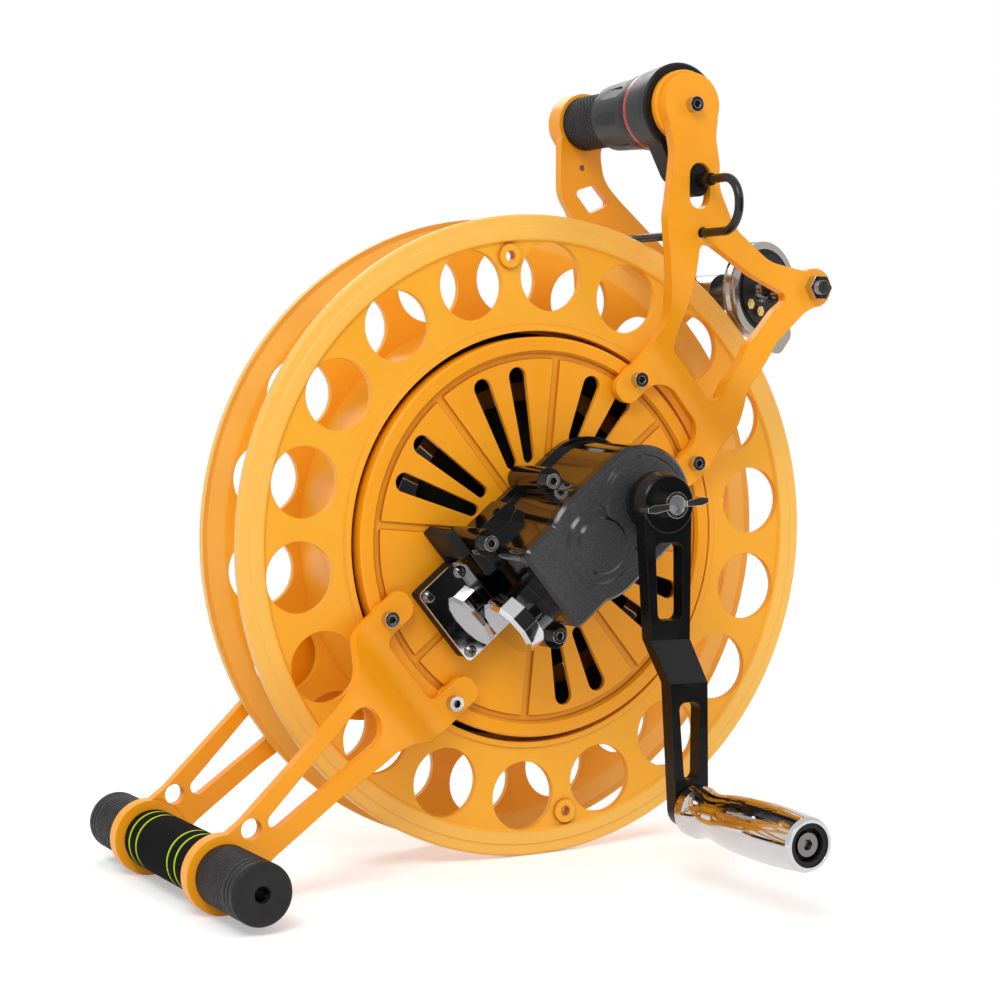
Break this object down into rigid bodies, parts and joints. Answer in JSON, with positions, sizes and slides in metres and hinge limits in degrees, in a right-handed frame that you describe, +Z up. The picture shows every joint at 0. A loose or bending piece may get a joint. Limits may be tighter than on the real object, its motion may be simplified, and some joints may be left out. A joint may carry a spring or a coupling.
{
  "type": "kite line winder",
  "caption": "Large-spool kite line winder with a geared crank, twist-grip brake handle, swivelling line guide and a foot bar.",
  "frame": {"origin": "on the floor under the middle of the bounding box", "axes": "+Y along the spool axis away from the crank side, +X from the foot bar towards the line guide, +Z up"},
  "size_m": [0.42, 0.338, 0.444],
  "materials": {
    "orange_shell": "satin",
    "orange_spool": "satin",
    "dark_web": "matte",
    "black_plastic": "satin",
    "red_ring": "gloss",
    "grip_rubber": "matte",
    "foam": "matte",
    "cable_sheath": "satin",
    "steel": "satin",
    "bright_steel": "polished",
    "polished_alloy": "polished",
    "satin_alloy": "satin",
    "black_shell": "gloss",
    "black_casting": "satin",
    "black_enamel": "gloss",
    "brass": "satin",
    "lining": "matte"
  },
  "bodies": {
    "frame": {"side_cover_front": "orange_shell", "side_cover_rear": "orange_shell", "spool_bearings": "steel", "foot_arm_front": "orange_shell", "foot_arm_rear": "orange_shell", "foot_bar_tube": "steel", "foam_sleeve": "foam", "foot_grip_front": "grip_rubber", "foot_grip_rear": "grip_rubber", "upper_plate_front": "orange_shell", "upper_plate_rear": "orange_shell", "side_screws": "bright_steel", "handle_rod": "satin_alloy", "handle_screws": "bright_steel", "handle_collar": "orange_shell", "shifter_housing": "black_plastic", "shift_ring": "red_ring", "handle_grip": "grip_rubber", "brake_cable": "cable_sheath", "cable_boot": "cable_sheath", "cable_stop": "steel", "brake_wire": "steel", "gearbox_housing": "black_shell", "gearbox_cover": "black_casting", "gearbox_screws": "bright_steel", "crank_bearings": "steel", "side_plate_base": "dark_web", "side_plate": "polished_alloy", "side_plate_screws": "bright_steel", "guide_axle": "satin_alloy", "guide_nuts": "bright_steel", "guide_spacers": "satin_alloy", "guide_pivot_pin": "steel"},
    "spool": {"spool_flange_front": "orange_spool", "spool_flange_rear": "orange_spool", "spool_drum": "orange_spool", "spool_hub": "dark_web", "brake_rings": "polished_alloy", "spool_shaft": "steel", "spool_pinion": "steel", "ratchet_wheel": "steel"},
    "crank": {"crank_arm": "black_enamel", "crank_shaft": "steel", "drive_gear": "satin_alloy", "wing_nut": "bright_steel", "crank_grip_bolt": "steel"},
    "crank_handle": {"crank_grip": "polished_alloy", "crank_grip_bushes": "black_plastic"},
    "twist": {"twist_barrel": "black_plastic"},
    "brake": {"brake_lever": "steel", "brake_shoe_arm": "steel", "brake_shoe": "lining"},
    "selector": {"selector_knob": "polished_alloy", "selector_shaft": "steel"},
    "pawl_body": {"pawl": "steel"},
    "guide_swing": {"guide_hub": "black_plastic", "guide_bearing": "dark_web", "guide_tail": "satin_alloy", "guide_bolts": "brass"},
    "guide_ring": {"guide_wheel": "satin_alloy"}
  },
  "joints": [
    {"name": "spool_spin", "type": "hinge", "parent": "frame", "child": "spool", "pos_m": [0.01854, 0.051, 0.18], "axis": [0, 1, 0], "continuous": true},
    {"name": "crank_spin", "type": "hinge", "parent": "frame", "child": "crank", "pos_m": [0.0462, 0.051, 0.20225], "axis": [0, 1, 0], "continuous": true},
    {"name": "crank_grip_spin", "type": "hinge", "parent": "crank", "child": "crank_handle", "pos_m": [0.04419, 0.051, 0.04325], "axis": [0, 1, 0], "continuous": true},
    {"name": "twist_grip", "type": "hinge", "parent": "frame", "child": "twist", "pos_m": [0.09204, 0.051, 0.41952], "axis": [0, 1, 0], "range_deg": [0, 75]},
    {"name": "brake_pull", "type": "hinge", "parent": "frame", "child": "brake", "pos_m": [0.02911, 0.051, 0.27743], "axis": [0, 1, 0], "range_deg": [0, 3.3], "deforming": ["brake_wire"]},
    {"name": "knob_turn", "type": "hinge", "parent": "frame", "child": "selector", "pos_m": [0.02499, 0.0141, 0.17197], "axis": [0.7793, 0, 0.6267], "range_deg": [0, 90]},
    {"name": "pawl_swing", "type": "hinge", "parent": "frame", "child": "pawl_body", "pos_m": [-0.01128, 0.0141, 0.17399], "axis": [0, -1, 0], "range_deg": [0, 10]},
    {"name": "guide_swivel", "type": "hinge", "parent": "frame", "child": "guide_swing", "pos_m": [0.17625, 0.061, 0.31971], "axis": [0.0208, 0, 0.9998], "range_deg": [-40.6, 9.4]},
    {"name": "guide_spin", "type": "hinge", "parent": "guide_swing", "child": "guide_ring", "pos_m": [0.17625, 0.061, 0.31971], "axis": [-0.2689, 0.9632, 0.0056], "continuous": true}
  ],
  "couplings": [
    {"joint": "crank_spin", "follows": "spool_spin", "ratio": -0.31482},
    {"joint": "brake_pull", "follows": "twist_grip", "ratio": 0.044},
    {"joint": "pawl_swing", "follows": "knob_turn", "ratio": 0.11111}
  ]
}
